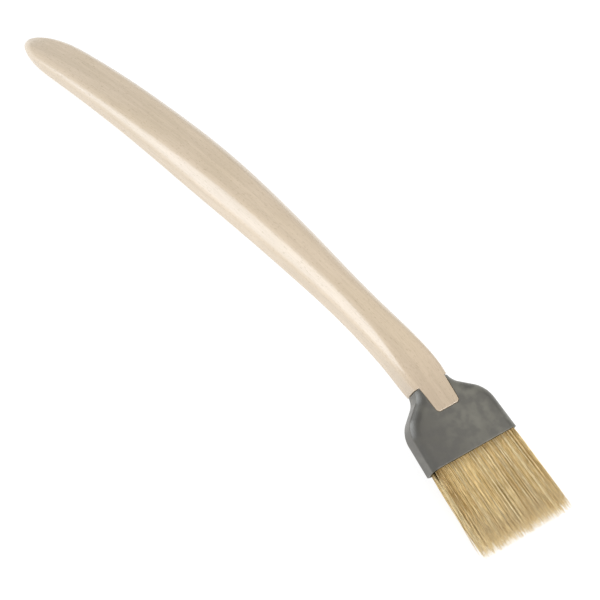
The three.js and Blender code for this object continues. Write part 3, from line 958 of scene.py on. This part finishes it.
def grey_plastic():
    """Warm grey moulding, softly mottled, with fine specks, and painted shade darkening it towards
    its left.
    """
    finish = Finish("grey_plastic", IOR=1.72, Specular_IOR_Level=1.0,
                    Specular_Tint=(1, 0.96, 0.89, 1))
    head = finish.stored("head").outputs["Vector"]
    # scales are features to a millimetre
    mottle = finish.noise(head, 0.17, roughness=0.45)
    cloud = finish.noise(head, 0.07, detail=1.0)
    fine = finish.noise(head, 4.0, detail=3.0, roughness=0.7)
    colour = finish.mix(finish.between(cloud, low=0.35, high=0.65), PLASTIC_DARK, PLASTIC_LIGHT)
    colour = finish.patches(colour, PLASTIC_MOTTLE, pattern=mottle, low=0.36, high=0.64, most=0.76)
    colour = finish.patches(colour, PLASTIC_SPECKS, pattern=fine, low=0.58, high=0.72, most=0.3)
    across = finish.node("SeparateXYZ", {0: head}).outputs[0]
    # painted shade: the moulding is darkened towards its left
    painted_shade_near_left = finish.between(across, PLASTIC_SHADE_FULL_AT, PLASTIC_SHADE_GONE_AT, 1, 0)
    finish.paint(finish.mix(painted_shade_near_left, colour, PLASTIC_PAINTED_SHADE_AT_LEFT, "MULTIPLY"))
    finish.roughen(finish.between(mottle, low=0.4, high=0.6, to_low=0.3, to_high=0.36))
    finish.bump(fine, strength=0.15, distance=0.00003)
    return finish.material


def natural_bristle():
    """Straw to tan, a tone for each bristle: painted shade at the mouth, flecked, paler at the tips.
    """
    finish = Finish("natural_bristle", Roughness=0.5, Specular_IOR_Level=0.35)
    tone = finish.stored("tone").outputs["Fac"]
    along = finish.stored("along").outputs["Fac"]
    head = finish.stored("head").outputs["Vector"]
    colour = finish.ramp(tone, [(0.0, BRISTLE_DARK), (0.5, BRISTLE_MIDDLE), (1.0, BRISTLE_PALE)])
    # painted shade: the bristles are darkened just below the mouth
    painted_shade_near_mouth = finish.between(along, low=0.14, high=0.3, to_low=0.4, to_high=0)
    colour = finish.mix(painted_shade_near_mouth, colour, BRISTLE_PAINTED_SHADE_AT_MOUTH)
    flecks = finish.stretched_noise(head, (1.8, 0.25, 1.8), roughness=0.6)
    flecked = finish.between(flecks, low=0.38, high=0.6)
    colour = finish.mix(flecked, colour, BRISTLE_FLECKS, "MULTIPLY")
    finish.paint(finish.patches(colour, BRISTLE_PALE, pattern=along, low=0.6, high=1.0,
                                most=0.35))
    return finish.material


def plain_wood():
    """Sawn bare wood of the filler strip."""
    finish = Finish("plain_wood", Roughness=0.8)
    place = finish.node("TexCoord").outputs["Object"]
    # scales are features to a metre, and the fibres run along X
    fibres = finish.stretched_noise(place, (300, 2500, 2500), detail=3.0)
    finish.paint(finish.mix(fibres, FILLER_PALE, FILLER_WARM))
    finish.bump(fibres, strength=0.4, distance=0.0001)
    return finish.material


def cured(name, pale, deep, roughness):
    """Resin or adhesive that has set: a little cloudy, with a wavy surface."""
    finish = Finish(name, Coat_Weight=0.3, Coat_Roughness=0.1)
    place = finish.node("TexCoord").outputs["Object"]
    # scales are features to a metre
    cloud = finish.noise(place, 400.0)
    waves = finish.noise(place, 250.0, detail=1.0)
    finish.paint(finish.mix(cloud, pale, deep))
    rougher = finish.node("MapRange", {0: cloud, 1: 0, 2: 1, 3: roughness,
                                      4: roughness + CLOUD_ROUGHER})
    finish.roughen(rougher.outputs[0])
    finish.bump(waves, strength=0.3, distance=0.0002)
    return finish.material


# ---------------------------------------------------------------- the brush

FRONT_SEED = 11
BACK_SEED = 12

make_handle(lacquered_beech())
make_ferrule(grey_plastic())
bristle_material = natural_bristle()
bristle_row("bristles_front", 1, FRONT_SEED, bristle_material, "bristle_row_front")
bristle_row("bristles_back", -1, BACK_SEED, bristle_material, "bristle_row_back")

node_materials = {
    "filler_strip": plain_wood(),
    "setting_resin": cured("resin", RESIN_PALE, RESIN_DEEP, roughness=0.25),
    "tenon_adhesive": cured("adhesive", ADHESIVE_PALE, ADHESIVE_DEEP, roughness=0.35),
}
for node_name, node_material in node_materials.items():
    frame["nodes"][node_name].material_slots[0].material = node_material

# ---------------------------------------------------------------- stage and light, in metres

WHITE = (1, 1, 1, 1)
FLOOR_SIZE = 12
FLOOR_GREY = (0.3, 0.3, 0.3, 1)
FLOOR_GLOW = 0.8
WORLD_BRIGHTNESS = 0.54
LIGHT_DISTANCE = 1.5  # from the brush's middle
KEY_COLOUR = (0.91, 0.98, 1.07)  # a little cool

floor = new_piece("floor", [(x * FLOOR_SIZE / 2, y * FLOOR_SIZE / 2, 0)
                            for x, y in ((-1, -1), (1, -1), (1, 1), (-1, 1))], [[0, 1, 2, 3]])
floor_finish = Finish("floor", Base_Color=FLOOR_GREY, Roughness=0.9,
                      Emission_Color=WHITE, Emission_Strength=FLOOR_GLOW)
floor.data.materials.append(floor_finish.material)

world = bpy.data.worlds.new("studio")
bpy.context.scene.world = world
world.use_nodes = True
background = world.node_tree.nodes["Background"]
background.inputs["Color"].default_value = WHITE
background.inputs["Strength"].default_value = WORLD_BRIGHTNESS


def softbox(name, turn, rise, width, height, brightness, colour=(1, 1, 1)):
    """Area light that faces the brush's middle from these degrees round it and above it."""
    data = bpy.data.lights.new(name, "AREA")
    data.shape = "RECTANGLE"
    data.size = width
    data.size_y = height
    data.energy = brightness * math.pi * width * height
    data.color = colour
    light = bpy.data.objects.new(name, data)
    level = math.cos(math.radians(rise))
    towards = Vector((math.cos(math.radians(turn)) * level, math.sin(math.radians(turn)) * level,
                      math.sin(math.radians(rise))))
    light.location = towards * LIGHT_DISTANCE
    light.rotation_euler = towards.to_track_quat("Z", "Y").to_euler()
    bpy.context.scene.collection.objects.link(light)


softbox("key", turn=138, rise=36, width=1.35, height=1.3, brightness=2.0, colour=KEY_COLOUR)
softbox("left", turn=138, rise=5, width=1.6, height=0.4, brightness=1.1)
softbox("front", turn=276, rise=46, width=1.8, height=0.6, brightness=4.3)

# ---------------------------------------------------------------- camera

CAMERA_TURN = math.radians(29.569)  # to the left of the head's front
CAMERA_DROP = math.radians(10.436)  # and down towards its bristles
CAMERA_ROLL = math.radians(-33.891)
CAMERA_PLACE = Vector((-81.91, 72.49, 2500)) * MM  # right, up and back from the mouth's middle
CAMERA_FOCUS = 5252.9  # pixels
PICTURE_WIDTH = 600  # pixels

camera_data = bpy.data.cameras.new("camera")
camera_data.lens = camera_data.sensor_width * CAMERA_FOCUS / PICTURE_WIDTH
camera = bpy.data.objects.new("camera", camera_data)
camera.matrix_world = (HEAD_PLACE @ Matrix.Rotation(-CAMERA_TURN, 4, "Y")
                       @ Matrix.Rotation(CAMERA_DROP, 4, "X")
                       @ Matrix.Rotation(CAMERA_ROLL, 4, "Z") @ Matrix.Translation(CAMERA_PLACE))
bpy.context.scene.collection.objects.link(camera)
bpy.context.scene.camera = camera
bpy.context.scene.view_settings.view_transform = "Standard"
